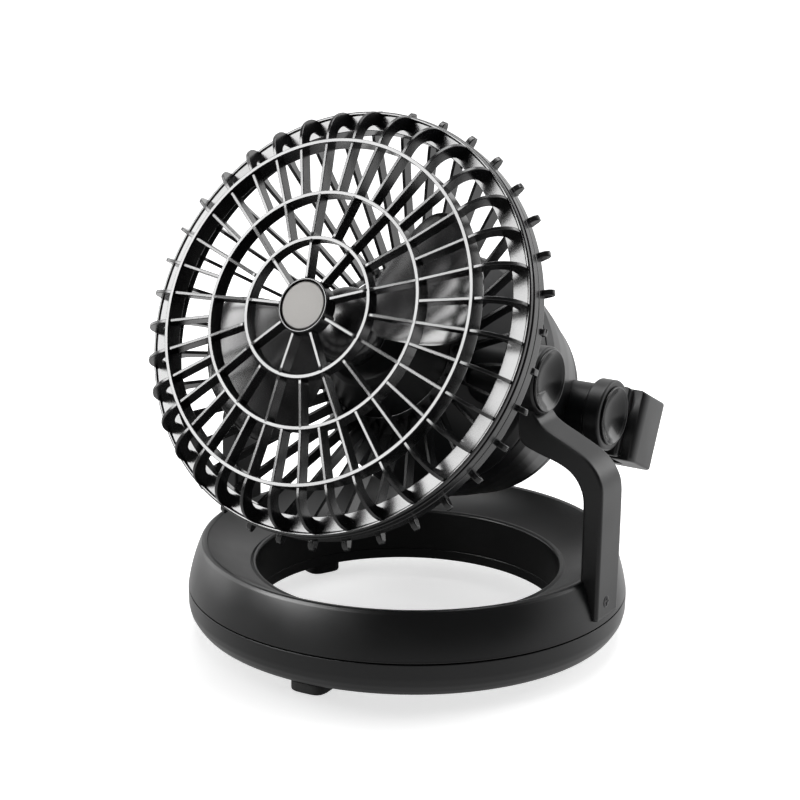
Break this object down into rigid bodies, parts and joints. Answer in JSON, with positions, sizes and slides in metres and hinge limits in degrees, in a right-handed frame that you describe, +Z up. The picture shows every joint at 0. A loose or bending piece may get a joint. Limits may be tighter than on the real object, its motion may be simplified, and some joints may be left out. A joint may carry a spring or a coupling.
{
  "type": "portable camping fan",
  "caption": "Portable camping fan: round caged fan head with a rear battery casing and carry bail, tilting in a yoke on a ring-shaped lamp base.",
  "frame": {"origin": "on the table, below the centre of the ring base", "axes": "+Z up, -Y the way the fan blows with its head level, +X along the tilt axis"},
  "size_m": [0.1916, 0.2128, 0.2248],
  "materials": {
    "black_shell": "satin moulded ABS",
    "black_trim": "fine matt ABS",
    "black_grille": "semi-gloss polypropylene",
    "fan_blade": "polished black plastic",
    "clear_lens": "clear polycarbonate",
    "circuit_board": "white solder mask",
    "led_resin": "clear resin",
    "rubber": "soft matt rubber",
    "steel": "bright steel",
    "silver_badge": "satin grey disc",
    "cell_jacket": "plain printed jacket"
  },
  "bodies": {
    "base": {"ring_upper_shell": "black_shell", "ring_lower_shell": "black_shell", "ring_inner_collar": "black_shell", "ring_lens": "clear_lens", "led_board": "circuit_board", "ring_leds": "led_resin", "ring_feet": "rubber", "yoke_arm_right": "black_shell", "yoke_arm_left": "black_shell", "yoke_screws": "steel", "pivot_caps": "black_trim", "pivot_pins": "steel"},
    "head": {"front_grille": "black_grille", "hub_badge": "silver_badge", "rear_grille": "black_grille", "motor_housing": "black_shell", "battery_housing": "black_shell", "motor_can": "steel", "motor_plate": "black_trim", "battery_cells": "cell_jacket", "battery_tray": "black_trim", "battery_contacts": "steel", "switch_plate": "black_trim"},
    "fan": {"impeller": "fan_blade", "motor_shaft": "steel"},
    "bail": {"handle": "black_shell", "handle_caps": "black_trim", "handle_pins": "steel"},
    "cover": {"battery_cover": "black_trim"},
    "fan_knob": {"fan_switch": "black_trim"},
    "light_knob": {"light_switch": "black_trim"}
  },
  "joints": [
    {"name": "head_tilt", "type": "hinge", "parent": "base", "child": "head", "pos_m": [0, 0, 0.119], "axis": [1, 0, 0], "range_deg": [-8, 114.8]},
    {"name": "fan_spin", "type": "hinge", "parent": "head", "child": "fan", "pos_m": [0, -0.04993, 0.14207], "axis": [0, -0.9078, 0.4195], "continuous": true},
    {"name": "handle_swing", "type": "hinge", "parent": "head", "child": "bail", "pos_m": [0, 0.06118, 0.09073], "axis": [1, 0, 0], "range_deg": [0, 48]},
    {"name": "battery_cover_turn", "type": "hinge", "parent": "head", "child": "cover", "pos_m": [0, 0.07217, 0.08565], "axis": [0, 0.9078, -0.4195], "range_deg": [0, 45]},
    {"name": "fan_switch_slide", "type": "slide", "parent": "head", "child": "fan_knob", "axis": [0, 0.9078, -0.4195], "range_m": [0, 0.0054]},
    {"name": "light_switch_slide", "type": "slide", "parent": "head", "child": "light_knob", "axis": [0, 0.9078, -0.4195], "range_m": [0, 0.0054]}
  ]
}
